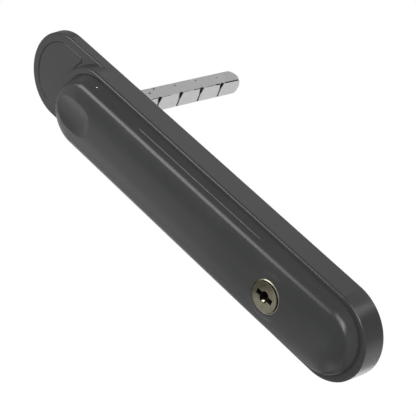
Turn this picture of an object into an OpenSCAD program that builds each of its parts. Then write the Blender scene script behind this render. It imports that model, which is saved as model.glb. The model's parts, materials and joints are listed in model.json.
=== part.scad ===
// Flush folding handle for a bifold door, shown closed.
// Frame: X to the right, Y into the door, Z up. The spindle axis meets the
// mounting plane at the origin. Each part is drawn lying down, as
// (across, along, height above the mounting plane), and then stood up.

/* [Base] */
// Half of the width of the base at the mounting plane
base_r = 18.5; // [18.5:0.1:20]
// Height of the rim round the lever
rim_h = 9.9; // [9.8:0.05:10]
// Height of the low end plate
low_h = 4.6; // [4.4:0.1:5]
// Centre of the round end of the low end plate, above the spindle
low_c = 25.2; // [25:0.1:28]
// Centre of the round end of the rim, above the spindle
rim_c = 1.7; // [1.5:0.1:2]
// Centre of the round foot end, below the spindle
foot_c = -137.8; // [-139:0.1:-137]
// Inward lean of the side walls for each mm of height
draft = 0.074; // [0.07:0.001:0.1]
// Radius of the round well that the lever's head tips into
well_r = 16.2; // [16.2:0.05:16.4]
// Thickness of the well's floor
well_floor = 1.5; // [1.2:0.1:1.6]
// Thickness of the tray's floor
tray_floor = 2.4; // [2:0.1:3]
// Upper fixing hole, above the spindle
fix_up = 31; // [30:0.5:32]
// Lower fixing hole, below the spindle
fix_down = -94; // [-96:0.5:-92]
// Radius of the fixing holes
fix_r = 2.65; // [2.1:0.05:2.8]

/* [Lever] */
// Height of the lever's foot above the mounting plane
foot_h = 10.1; // [10.1:0.05:10.15]
// Height of the crown
crown_h = 17.85; // [17.8:0.05:18.1]
// Centre of the lever's round head end
head_c = 0.1; // [0:0.05:0.15]
// Centre of the lever's round foot end
tip_c = -138.0; // [-138.4:0.1:-137.6]
// Height of the folding axis above the mounting plane
pin_h = 12; // [11.95:0.01:12.05]
// Place of the folding axis along the handle
pin_z = -2; // [-2.1:0.05:-1.9]
// Radius of the folding pin
pin_r = 1.5; // [1.3:0.1:1.6]
// Radius of the folding pin's small right end
nib_r = 0.55; // [0.4:0.05:0.8]

/* [Spindle] */
// Side of the square spindle
spindle_w = 7; // [6:0.1:7]
// How far the spindle reaches behind the mounting plane
spindle_l = 73; // [50:1:90]
// Distance between the snap-off notches
notch_step = 11.9; // [10:0.1:13]

/* [Lock] */
// Place of the lock along the handle
lock_z = -113.9; // [-116:0.1:-112]
// Radius of the lock's round face
face_r = 5.9; // [5.8:0.05:6]
// Throw of the crank that moves the locking bar
crank = 1.8; // [1.7:0.05:1.9]

/* [Hidden] */
$fn = 72;
grey = [0.27, 0.28, 0.29];
steel = [0.68, 0.69, 0.70];
zinc = [0.62, 0.62, 0.62];
nylon = [0.90, 0.89, 0.84];
nickel = [0.50, 0.48, 0.38];
brass = [0.80, 0.66, 0.34];
rubber = [0.08, 0.08, 0.08];
crank_a = 45;
bar_travel = 2 * crank * sin(crank_a);
bar_tip = pin_z - 7.2 - bar_travel;
screw_spots = [[7.7, -24], [-7.7, -24], [7.7, -84], [-7.7, -84], [0, -143]];
buffer_spots = [-40, -128];

// ---- helpers ----
function arc(cx, cy, r, a0, a1, n) =
    [for (i = [0:n]) let (a = a0 + (a1 - a0) * i / n) [cx + r * cos(a), cy + r * sin(a)]];
function flip(p) = [for (i = [len(p) - 1:-1:0]) [-p[i][0], p[i][1]]];

// stands a part up: its height becomes the outward direction
module stand() rotate([90, 0, 0]) children();

// a long body with round ends: profile p is (radius, height) from axis to axis
module pill(p, ya, yb) {
    translate([0, ya, 0]) rotate_extrude() polygon(p);
    translate([0, yb, 0]) rotate_extrude() polygon(p);
    translate([0, yb, 0]) rotate([90, 0, 0]) linear_extrude(yb - ya) polygon(concat(p, flip(p)));
}
// the same with only the upper or the lower end round
module half_pill(p, ya, yb, top) {
    translate([0, top ? yb : ya, 0]) rotate_extrude() polygon(p);
    translate([0, yb, 0]) rotate([90, 0, 0]) linear_extrude(yb - ya) polygon(concat(p, flip(p)));
}
module slab(w, ya, yb, h0, h1)
    translate([-w, ya, h0]) cube([2 * w, yb - ya, h1 - h0]);
module disc(r, h0, h1, x = 0, y = 0)
    translate([x, y, h0]) cylinder(r = r, h = h1 - h0);
module cone(r0, r1, h0, h1, x = 0, y = 0)
    translate([x, y, h0]) cylinder(r1 = r0, r2 = r1, h = h1 - h0);
// a cylinder along X between two places
module across(r, x0, x1, y, h)
    translate([x0, y, h]) rotate([0, 90, 0]) cylinder(r = r, h = x1 - x0);
// part of a ring between two angles, up to 180 degrees apart
module sector(r0, r1, h0, h1, a0, a1) {
    n = 6;
    linear_extrude_at(h0, h1) intersection() {
        difference() { circle(r = r1); circle(r = r0); }
        polygon(concat([[0, 0]], [for (i = [0:n]) let (a = a0 + (a1 - a0) * i / n)
            2 * r1 * [cos(a), sin(a)]]));
    }
}
module linear_extrude_at(h0, h1) translate([0, 0, h0]) linear_extrude(h1 - h0) children();

// ---- profiles, as (radius, height) ----
function wall_at(h) = base_r - draft * h;
rim_prof = concat([[0, 0], [base_r, 0]],
    arc(wall_at(rim_h - 1.05) - 1.05, rim_h - 1.05, 1.05, 0, 90, 6), [[0, rim_h]]);
low_prof = concat([[0, 0], [base_r, 0]],
    arc(wall_at(low_h - 0.8) - 0.8, low_h - 0.8, 0.8, 0, 90, 5), [[0, low_h]]);
crown_r = 34.5;
side_a = 28;
sh_r = 3.8;
sh_x = crown_r * cos(70) - sh_r * cos(70);
sh_h = crown_h - crown_r * (1 - sin(70)) - sh_r * sin(70);
side_x = sh_x + sh_r * cos(side_a);
side_h = sh_h + sh_r * sin(side_a);
foot_x = side_x + (side_h - foot_h) * tan(side_a);
lever_prof = concat([[0, foot_h], [foot_x, foot_h]],
    arc(sh_x, sh_h, sh_r, side_a, 70, 8),
    arc(0, crown_h - crown_r, crown_r, 73, 87, 5), [[0, crown_h]]);
step_prof = [[side_x + (side_h - 12.9) * tan(side_a), 12.9], [side_x + (side_h - 13.04) * tan(side_a) - 0.15, 13.04],
    [side_x, side_h], [side_x + 2.2, side_h], [side_x + 2.2, 12.9]];
head_hollow = [[0, foot_h - 1], [13.0, foot_h - 1], [13.0, foot_h], [11.7, 15.0], [0, 15.0]];
arm_hollow = [[0, foot_h - 1], [11.2, foot_h - 1], [11.2, foot_h], [10.6, 15.3], [0, 15.3]];

// outline of the cover cap: round at the top, hollowed where it meets the rim
module cap_outline(o) difference() {
    union() {
        translate([0, low_c]) circle(r = 14.4 + o);
        translate([-14.4 - o, 6]) square([28.8 + 2 * o, low_c - 6]);
    }
    translate([0, rim_c]) circle(r = 19.6 - o);
}

// ---- base ----
module base_housing() color(grey) stand() difference() {
    union() {
        difference() {
            union() {
                pill(rim_prof, foot_c, rim_c);
                pill(low_prof, foot_c, low_c);
            }
            // round well and long tray
            disc(well_r, well_floor, rim_h + 1);
            half_pill([[0, tray_floor], [13.0, tray_floor], [13.3, rim_h + 1], [0, rim_h + 1]],
                foot_c + 0.3, 0, false);
        }
        // boss round the turning barrel
        disc(9.8, 0, 5.5);
        // stop for the half turn
        sector(9.3, 10.9, 0.5, 7.5, 172, 188);
        // screw boss and buffer posts
        disc(6.4, 0.5, 6.2, 0, fix_down);
        for (z = buffer_spots) disc(4.2, 0.5, 8.8, 0, z);
        // cross ribs in the tray
        for (z = [-24, -58, -76, -108, -145])
            slab(13.2, z - 0.9, z + 0.9, 1, 5);
        slab(0.9, -78, -38, 1, 5);
    }
    // bore for the bush, and the recess at the back
    disc(7.6, 1, 6);
    disc(8.4, -1, 2.8);
    // fixing holes with countersinks
    for (z = [fix_up, fix_down]) disc(fix_r, -1, 12, 0, z);
    cone(fix_r, 4.25, 1.2, 2.8 + 0.001, 0, fix_up);
    cone(fix_r, 5.0, 3.85, 6.2 + 0.001, 0, fix_down);
    // pocket and sockets for the cover cap
    linear_extrude_at(2.8, low_h + 1) cap_outline(0.15);
    for (x = [-9.5, 9.5]) disc(1.5, 1.0, 3.5, x, 26);
    // sockets for the buffers
    for (z = buffer_spots) disc(1.3, 6.4, 9, 0, z);
    // shallow pockets in the back
    half_back(-86, -22);
    half_back(-136, -103);
}
module half_back(ya, yb) translate([0, 0, -1]) linear_extrude(2) union() {
    translate([-9, ya]) square([18, yb - ya]);
    translate([0, ya]) circle(r = 9);
    translate([0, yb]) circle(r = 9 * (yb > -30 ? 0.35 : 0.4));
}

module screw_cap() color(grey) stand() {
    difference() {
        linear_extrude_at(2.85, low_h - 0.1) cap_outline(0);
        disc(4.5, 2, 3.3, 0, fix_up);
    }
    for (x = [-9.5, 9.5]) disc(1.45, 1.2, 3.0, x, 26);
}

module rotor_bush() color(nylon) stand() difference() {
    union() {
        disc(7.6, 2.85, 5.6);
        disc(9.1, 5.5, 6.1);
    }
    disc(6.55, 2, 7);
}

module rest_buffers() color(rubber) stand() for (z = buffer_spots) {
    disc(3.2, 8.8, 9.75, 0, z);
    cone(3.2, 2.9, 9.75, 10.05, 0, z);
    disc(1.25, 6.6, 8.9, 0, z);
}

// ---- turning part ----
module rotor() color(zinc) stand() difference() {
    union() {
        // barrel with a groove for the retaining ring
        difference() {
            disc(6.5, 0.3, 6.5);
            difference() { disc(7, 1.0, 1.8); disc(5.9, 0.9, 1.9); }
        }
        // flange and the half ring that meets the stop
        disc(9.1, 6.15, 7.6);
        sector(8.9, 10.6, 6.15, 7.4, 8.6, 171.4);
        // lug that carries the folding pin
        translate([-6, 0, 0]) rotate([90, 0, 90]) linear_extrude(12) polygon([
            [pin_z - 5.0, 7.0], [6.2, 7.0], [5.6, 8.4], [2.6, 10.9], [pin_z + 2.1, pin_h + 1.4],
            [pin_z - 2.1, pin_h + 1.5], [pin_z - 5.0, pin_h + 1.2]]);
        across(2.7, -6, 6, pin_z, pin_h);
        // catch shelf over the locking bar
        translate([-6, pin_z - 9.1, pin_h + 0.7]) cube([12, 6, 1.5]);
    }
    across(pin_r + 0.05, -7, 7, pin_z, pin_h);
    // square socket and its cross pin
    translate([-spindle_w / 2 - 0.05, -spindle_w / 2 - 0.05, -1]) cube([spindle_w + 0.1, spindle_w + 0.1, 10.4]);
    across(1.0, -7, 7, 0, 8.5);
}

// a groove across one face of the square, deeper at one end
module notch() translate([0, -spindle_w / 2 + 0.9, 0]) rotate([0, 0, 5.7]) rotate([90, 0, 90])
    translate([0, 0, -6]) linear_extrude(12) polygon([[0, 0], [-2, 1.53], [-2, -1.53]]);
module spindle() color(steel) stand() difference() {
    union() {
        translate([-spindle_w / 2, -spindle_w / 2, -spindle_l + 3.2]) cube([spindle_w, spindle_w, spindle_l - 3.2 + 9.3]);
        // domed tip
        intersection() {
            translate([-spindle_w / 2, -spindle_w / 2, -spindle_l - 1]) cube([spindle_w, spindle_w, 4.3]);
            translate([0, 0, -spindle_l + 5.5]) sphere(r = 5.5);
        }
    }
    across(1.0, -5, 5, 0, 8.5);
    // snap-off notches on two faces
    for (i = [0:3], a = [0, 180]) translate([0, 0, -24.5 - i * notch_step]) rotate([0, 0, a]) notch();
}

module spindle_pin() color(steel) stand() across(1.0, -5.9, 5.9, 0, 8.5);

module thrust_washer() color(nylon) stand() difference() {
    disc(8.1, 2.3, 2.75);
    disc(6.6, 2, 3);
}
module wave_washer() color(steel) stand() difference() {
    disc(7.9, 1.85, 2.25);
    disc(6.7, 1, 3);
}
module circlip() color(steel) stand() difference() {
    disc(7.7, 1.02, 1.78);
    disc(5.95, 0.5, 2);
    slab(1.6, 3, 9, 0, 3);
}

// ---- lever ----
module lever() color(grey) stand() difference() {
    union() {
        difference() {
            pill(lever_prof, tip_c, head_c);
            half_pill(head_hollow, -16, head_c, true);
            half_pill(arm_hollow, tip_c, -14, false);
            // fine step along both sides
            for (s = [-1, 1]) translate([0, -29.5, 0]) rotate([90, 0, 0]) linear_extrude(70)
                polygon([for (q = step_prof) [s * q[0], q[1]]]);
        }
        // bosses and ribs inside the arm
        for (p = screw_spots) disc(2.7, foot_h + 0.9, 15.6, p[0], p[1]);
        for (z = [-46, -90]) slab(4, z - 1.5, z + 1.5, pin_h + 0.65, 15.6);
        for (z = [-35, -65, -128]) difference() {
            slab(10.8, z - 0.7, z + 0.7, 13.2, 15.6);
        }
        disc(8.8, 15.0, 16.0, 0, lock_z);
        // pad round the lock
        cone(9.8, 7.6, 16.3, crown_h - 0.5, 0, lock_z);
    }
    // screw holes
    for (p = screw_spots) disc(0.95, foot_h, 14.4, p[0], p[1]);
    // seat of the folding pin
    across(pin_r, -18, 13.0, pin_z, pin_h);
    across(nib_r, 12, 18, pin_z, pin_h);
    // thumb scoop and the top of the pad
    translate([0, 0.8, crown_h - 1.75 + 18]) sphere(r = 18);
    disc(7.6, crown_h - 0.5, crown_h + 1, 0, lock_z);
    cone(7.6, 9.9, crown_h - 0.5, crown_h + 0.1, 0, lock_z);
    disc(6.52, 12, 20, 0, lock_z);
}

module hinge_pin() color(steel) stand() {
    across(pin_r, -14.3, 13.0, pin_z, pin_h);
    across(nib_r, 12.9, 14.8, pin_z, pin_h);
}

module hinge_washers() color(nylon) stand() difference() {
    union() {
        across(2.6, 6.1, 6.9, pin_z, pin_h);
        across(2.6, -6.9, -6.1, pin_z, pin_h);
    }
    across(pin_r + 0.05, -8, 8, pin_z, pin_h);
}
module hinge_spacer() color(steel) stand() difference() {
    across(2.6, -11.6, -7.0, pin_z, pin_h);
    across(pin_r + 0.05, -12, -6, pin_z, pin_h);
}

// torsion spring: a wire swept along a helix round the pin, with two legs
wire_r = 0.4;
coil_r = 2.25;
coil_n = 4;
coil_x0 = 7.6;
coil_pitch = 0.86;
coil_pts = concat(
    [[coil_x0, 1.1, 8.1], [coil_x0, 0.75, 9.0], [coil_x0, 0.4, 10.2]],
    [for (i = [0:16 * coil_n + 4]) let (a = i * 22.5)
        [coil_x0 + coil_pitch * i / 16, pin_z + coil_r * cos(a), pin_h + coil_r * sin(a)]],
    [[coil_x0 + coil_pitch * (coil_n + 0.27), -4.5, pin_h + coil_r + 0.03],
     [coil_x0 + coil_pitch * (coil_n + 0.27), -8.5, pin_h + coil_r + 0.1],
     [coil_x0 + coil_pitch * (coil_n + 0.27), -13, pin_h + coil_r + 0.2]]);
function unit(v) = v / norm(v);
function heading(p, i) = unit(p[min(i + 1, len(p) - 1)] - p[max(i - 1, 0)]);
module wire(p, r, k) {
    n = len(p);
    rings = [for (i = [0:n - 1]) let (t = heading(p, i), u = unit(cross([1, 0.001, 0], t)), w = cross(t, u))
        for (j = [0:k - 1]) p[i] + r * (cos(360 * j / k) * u + sin(360 * j / k) * w)];
    polyhedron(rings, concat([[for (j = [0:k - 1]) j]],
        [for (i = [0:n - 2], j = [0:k - 1]) [i * k + j, (i + 1) * k + j, (i + 1) * k + (j + 1) % k, i * k + (j + 1) % k]],
        [[for (j = [k - 1:-1:0]) (n - 1) * k + j]]), convexity = 10);
}
module fold_spring() color(steel) stand() wire(coil_pts, wire_r, 8);

module lever_back_plate() color(steel) stand() difference() {
    linear_extrude_at(foot_h + 0.05, foot_h + 0.85) union() {
        translate([0, tip_c]) circle(r = 11.1);
        translate([-11.1, tip_c]) square([22.2, -17 - tip_c]);
    }
    for (p = screw_spots) cone(2.1, 1.1, foot_h, foot_h + 0.86, p[0], p[1]);
}
module back_plate_screws() color(steel) stand() for (p = screw_spots) difference() {
    union() {
        cone(1.9, 0.95, foot_h + 0.1, foot_h + 0.85, p[0], p[1]);
        disc(0.95, foot_h + 0.8, 14.2, p[0], p[1]);
    }
    translate([p[0] - 0.2, p[1] - 3, foot_h]) cube([0.4, 6, 0.45]);
}

// ---- lock ----
module lock_sleeve() color(nickel) stand() difference() {
    union() {
        disc(6.47, 13.4, 17.25, 0, lock_z);
        cone(6.47, 6.15, 17.25, 17.5, 0, lock_z);
    }
    disc(4.95, 13, 18, 0, lock_z);
    disc(6.08, 16.5, 18, 0, lock_z);
}
module lock_nut() color(steel) stand() difference() {
    disc(8.6, 13.7, 14.95, 0, lock_z);
    disc(6.47, 13, 16, 0, lock_z);
    for (s = [-1, 1]) translate([s * 8.4 - 0.8, lock_z - 1.2, 13]) cube([1.6, 2.4, 3]);
}
module keyway(w, l, h0, h1) translate([-w / 2, lock_z - l / 2, h0]) cube([w, l, h1 - h0]);
// the guide pin sits in a side pocket of the keyhole
pin_at = [-2.0, lock_z - 0.4];
module side_pocket(r, h0, h1) disc(r, h0, h1, -1.3, lock_z + 0.15);
module lock_plug() color(nickel) stand() difference() {
    union() {
        disc(4.9, 13.2, 16.6, 0, lock_z);
        disc(face_r, 16.55, 17.95, 0, lock_z);
        cone(face_r, face_r - 0.12, 17.95, 18.08, 0, lock_z);
    }
    keyway(1.85, 7.5, 14.2, 18.5);
    disc(2.2, 14.2, 18.5, 0, lock_z);
    side_pocket(1.7, 14.2, 18.5);
    for (h = [14.6, 15.3, 16.0]) keyway(5.1, 8.3, h, h + 0.45);
    disc(0.8, 12, 14.1, 0, lock_z);
    disc(0.65, 13.6, 14.3, pin_at[0], pin_at[1]);
}
module lock_wafers() color(brass) stand() for (h = [14.6, 15.3, 16.0]) difference() {
    keyway(5, 8.2, h + 0.02, h + 0.43);
    keyway(2.0, 7.6, h - 1, h + 1);
    disc(2.25, h - 1, h + 1, 0, lock_z);
    side_pocket(1.75, h - 1, h + 1);
}
module key_guide_pin() color(brass) stand() {
    disc(0.62, 13.65, 17.2, pin_at[0], pin_at[1]);
    translate([pin_at[0], pin_at[1], 17.2]) sphere(r = 0.8);
}
module lock_cam() color(steel) stand() {
    difference() {
        disc(4.4, 12.6, 13.2, 0, lock_z);
        disc(0.8, 12, 14, 0, lock_z);
        cone(1.7, 0.79, 12.59, 13.1, 0, lock_z);
    }
    disc(1.0, 11.3, 12.7, -crank * cos(crank_a), lock_z - crank * sin(crank_a));
}
module cam_screw() color(steel) stand() {
    cone(1.3, 0.76, 12.75, 13.1, 0, lock_z);
    disc(0.76, 13.05, 14.0, 0, lock_z);
}
module lock_bar() color(steel) stand() difference() {
    union() {
        translate([-3, lock_z - 4, 11.2]) cube([6, bar_tip - 3 - lock_z + 4, 1.2]);
        translate([-4.4, lock_z - 4.5, 11.2]) cube([8.8, 7.5, 1.2]);
        translate([-2.4, bar_tip - 4, 11.2]) cube([4.8, 4, 1.2]);
    }
    translate([-crank - 1.2, lock_z - crank * sin(crank_a) - 1.15, 11]) cube([crank + 1.1, 2.3, 2]);
}

base_housing();
screw_cap();
rotor_bush();
rest_buffers();
rotor();
spindle();
spindle_pin();
thrust_washer();
wave_washer();
circlip();
lever();
hinge_pin();
hinge_washers();
hinge_spacer();
fold_spring();
lever_back_plate();
back_plate_screws();
lock_sleeve();
lock_nut();
lock_plug();
lock_wafers();
key_guide_pin();
lock_cam();
cam_screw();
lock_bar();
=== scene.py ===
import json
import math

import bmesh
import bpy
import numpy as np
from mathutils import Matrix, Vector


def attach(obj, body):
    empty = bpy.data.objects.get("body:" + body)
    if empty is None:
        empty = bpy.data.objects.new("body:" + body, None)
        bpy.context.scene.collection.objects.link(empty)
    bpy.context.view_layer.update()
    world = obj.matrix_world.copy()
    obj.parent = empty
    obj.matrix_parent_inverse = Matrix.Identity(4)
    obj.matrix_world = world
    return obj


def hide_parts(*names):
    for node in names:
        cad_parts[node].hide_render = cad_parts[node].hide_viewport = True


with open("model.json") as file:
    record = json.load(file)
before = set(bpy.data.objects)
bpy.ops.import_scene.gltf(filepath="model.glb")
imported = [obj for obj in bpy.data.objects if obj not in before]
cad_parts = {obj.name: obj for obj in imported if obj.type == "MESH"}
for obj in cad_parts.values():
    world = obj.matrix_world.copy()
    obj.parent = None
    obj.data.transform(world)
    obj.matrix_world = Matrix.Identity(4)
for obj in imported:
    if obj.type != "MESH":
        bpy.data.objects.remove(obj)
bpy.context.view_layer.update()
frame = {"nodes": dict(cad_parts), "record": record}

# Everything is drawn lying down in millimetres, as (across, along, height above
# the mounting plane), and stood up when the mesh is made.

# ------------------------------------------------------------------ numbers
BASE_R, RIM_H, LOW_H = 18.5, 9.9, 4.6
LOW_C, RIM_C, FOOT_C = 25.2, 1.7, -137.8
DRAFT, RIM_E = 0.074, 1.05
FOOT_H, CROWN_H = 10.1, 17.85
PIN_H, PIN_Z = 12.0, -2.0
WELL_R = 16.07
LOCK_Z = -113.9
FIX_UP, FIX_DOWN = 31.0, -94.0


# ------------------------------------------------------------ mesh helpers
def clean(bm):
    bmesh.ops.remove_doubles(bm, verts=bm.verts, dist=1e-6)
    bmesh.ops.dissolve_degenerate(bm, edges=bm.edges, dist=1e-7)
    bmesh.ops.recalc_face_normals(bm, faces=bm.faces)


def to_object(name, verts, faces, merge=True):
    """verts in lying millimetres -> a standing object in metres"""
    v = np.asarray(verts, float)
    w = np.c_[v[:, 0], -v[:, 2], v[:, 1]] * 0.001
    me = bpy.data.meshes.new(name)
    me.from_pydata(w.tolist(), [], faces)
    if merge:
        bm = bmesh.new()
        bm.from_mesh(me)
        clean(bm)
        bm.to_mesh(me)
        bm.free()
    me.validate()
    ob = bpy.data.objects.new(name, me)
    bpy.context.scene.collection.objects.link(ob)
    return ob


def rings_faces(m, n, closed=True):
    f = []
    last = n if closed else n - 1
    for i in range(m - 1):
        a, b = i * n, (i + 1) * n
        for j in range(last):
            k = (j + 1) % n
            f.append((a + j, a + k, b + k, b + j))
    return f


def stack(name, rings):
    """a closed solid from a pile of closed rings with the same count"""
    m, n = len(rings), len(rings[0])
    v = np.concatenate([np.asarray(r, float) for r in rings])
    f = rings_faces(m, n)
    f.append(tuple(range(n - 1, -1, -1)))
    f.append(tuple((m - 1) * n + j for j in range(n)))
    return to_object(name, v, f)


def turned(name, prof, cx=0.0, cy=0.0, n=72):
    """a solid of revolution about the height axis, prof = [(r, h), ...] from axis to axis"""
    a = np.linspace(0, 2 * np.pi, n, endpoint=False)
    v, rows = [], []
    for r, h in prof:
        if r < 1e-9:
            rows.append([len(v)])
            v.append((cx, cy, h))
        else:
            rows.append(list(range(len(v), len(v) + n)))
            v += [(cx + r * math.cos(t), cy + r * math.sin(t), h) for t in a]
    f = []
    for A, B in zip(rows[:-1], rows[1:]):
        for j in range(n):
            k = (j + 1) % n
            if len(A) == 1 and len(B) == 1:
                continue
            if len(A) == 1:
                f.append((A[0], B[k], B[j]))
            elif len(B) == 1:
                f.append((A[j], A[k], B[0]))
            else:
                f.append((A[j], A[k], B[k], B[j]))
    return to_object(name, v, f)


def across_pin(name, prof, cy, ch, n=48):
    """a solid of revolution about the X direction, prof = [(r, x), ...]"""
    ob = turned(name, prof, 0, 0, n)
    # lying (x, y, h): the height axis goes to x
    for vert in ob.data.vertices:
        x, h, y = vert.co.x * 1000, -vert.co.y * 1000, vert.co.z * 1000
        nx, ny, nh = h, cy + y, ch - x
        vert.co = Vector((nx, -nh, ny)) * 0.001
    ob.data.update()
    return ob


def slab(name, x0, x1, y0, y1, h0, h1):
    ring = [(x0, y0), (x1, y0), (x1, y1), (x0, y1)]
    return stack(name, [[(x, y, h0) for x, y in ring], [(x, y, h1) for x, y in ring]])


def boolean(a, b, op="DIFFERENCE", keep=False):
    m = a.modifiers.new("b", "BOOLEAN")
    m.operation = op
    m.object = b
    m.solver = "MANIFOLD"
    bpy.context.view_layer.update()
    dg = bpy.context.evaluated_depsgraph_get()
    me = bpy.data.meshes.new_from_object(a.evaluated_get(dg))
    a.modifiers.clear()
    old = a.data
    a.data = me
    bpy.data.meshes.remove(old)
    if not keep:
        drop(b)
    if len(me.polygons) == 0:
        raise RuntimeError("empty result at " + a.name)
    return a


def drop(ob):
    me = ob.data
    bpy.data.objects.remove(ob)
    bpy.data.meshes.remove(me)


def join(name, obs):
    vs, fs, off = [], [], 0
    for o in obs:
        vs += [tuple(v.co) for v in o.data.vertices]
        fs += [tuple(off + i for i in p.vertices) for p in o.data.polygons]
        off = len(vs)
    me = bpy.data.meshes.new(name)
    me.from_pydata(vs, [], fs)
    me.update()
    ob = bpy.data.objects.new(name, me)
    bpy.context.scene.collection.objects.link(ob)
    for o in list(obs):
        drop(o)
    return ob


def smooth(ob, angle=32):
    me = ob.data
    me.name = ob.name
    bm = bmesh.new()
    bm.from_mesh(me)
    bmesh.ops.remove_doubles(bm, verts=bm.verts, dist=2e-7)
    bmesh.ops.dissolve_degenerate(bm, edges=bm.edges, dist=2e-7)
    bm.to_mesh(me)
    bm.free()
    me.shade_smooth()
    me.set_sharp_from_angle(angle=math.radians(angle))
    me.update()
    return ob


def finish_piece(ob, body, nodes, mat, angle=32):
    smooth(ob, angle)
    ob.data.materials.clear()
    ob.data.materials.append(mat)
    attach(ob, body)
    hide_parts(*nodes)
    return ob


def smin(a, b, k):
    t = np.maximum(k - np.abs(a - b), 0) / k
    return np.minimum(a, b) - t * t * k * 0.25


def smax(a, b, k):
    return -smin(-a, -b, k)


def sstep(a, b, x):
    t = np.clip((x - a) / (b - a), 0, 1)
    return t * t * (3 - 2 * t)


def resample(px, ph, m, ds0=0.9, dphi=5.0, cap=None):
    """m points along each path (rows of px, ph), denser where it bends"""
    dx, dh = np.diff(px, axis=1), np.diff(ph, axis=1)
    ds = np.hypot(dx, dh)
    ang = np.unwrap(np.arctan2(dh, dx), axis=1)
    bend = np.zeros_like(ds)
    bend[:, 1:] = np.abs(np.diff(ang, axis=1))
    w = ds / ds0 + bend / math.radians(dphi)
    c = np.concatenate([np.zeros((len(w), 1)), np.cumsum(w, axis=1)], axis=1)
    s = np.concatenate([np.zeros((len(w), 1)), np.cumsum(ds, axis=1)], axis=1)
    out_x, out_h = np.empty((len(px), m)), np.empty((len(px), m))
    for i in range(len(px)):
        t = np.linspace(0, c[i, -1], m)
        si = np.interp(t, c[i], s[i])
        out_x[i] = np.interp(si, s[i], px[i])
        out_h[i] = np.interp(si, s[i], ph[i])
    return out_x, out_h


# -------------------------------------------------------------- the outlines
def pill_ring(w, ch, cf, h, n_end=96, zs=None):
    """stadium ring, counterclockwise seen from the front, start at the right of the head centre"""
    a = np.linspace(0, np.pi, n_end)
    head = np.c_[w * np.cos(a), ch + w * np.sin(a)]
    foot = np.c_[-w * np.cos(a), cf - w * np.sin(a)]
    t = zs  # fractions from head to foot, without the ends
    left = np.c_[np.full(len(t), -w), ch + (cf - ch) * t]
    right = np.c_[np.full(len(t), w), (ch + (cf - ch) * t)[::-1]]
    p = np.concatenate([head, left, foot, right])
    return np.c_[p, np.full(len(p), h)]


def pill(name, prof, cf, ch, n_end=64):
    """round-ended solid with the same profile all round: prof = [(r, h), ...], no r of 0"""
    t = np.linspace(0, 1, 6)[1:-1]
    return stack(name, [pill_ring(r, ch, cf, h, n_end, t) for r, h in prof])


def half_pill(name, prof, y_flat, yc, top, n=48):
    """as pill, with a flat end at y_flat and a round end about yc"""
    rings = []
    for r, h in prof:
        if top:
            a = np.linspace(0, np.pi, n)
            p = [(r * math.cos(t), yc + r * math.sin(t)) for t in a] + [(-r, y_flat), (r, y_flat)]
        else:
            a = np.linspace(np.pi, 2 * np.pi, n)
            p = [(r * math.cos(t), yc + r * math.sin(t)) for t in a] + [(r, y_flat), (-r, y_flat)]
        rings.append([(x, y, h) for x, y in p])
    return stack(name, rings)


# ------------------------------------------------------------- outer casting
def rim_half(h):
    """half-width of the high part at a height, with its rounded edge"""
    w0 = BASE_R - DRAFT * h
    e = RIM_E
    he = RIM_H - e
    we = BASE_R - DRAFT * he - e
    return np.where(h <= he, w0, we + np.sqrt(np.maximum(e * e - (h - he) ** 2, 0)))


def low_profile(d, top=LOW_H, e=0.8):
    """height of the low end plate at a distance inside its back outline"""
    he = top - e
    we = DRAFT * he + e  # distance inside at the end of the rounding
    wall = d / DRAFT
    c = np.sqrt(np.maximum(e * e - (np.clip(we - d, 0, e)) ** 2, 0))
    return np.where(d < DRAFT * he, wall, np.where(d < we, he + c, top))


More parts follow.
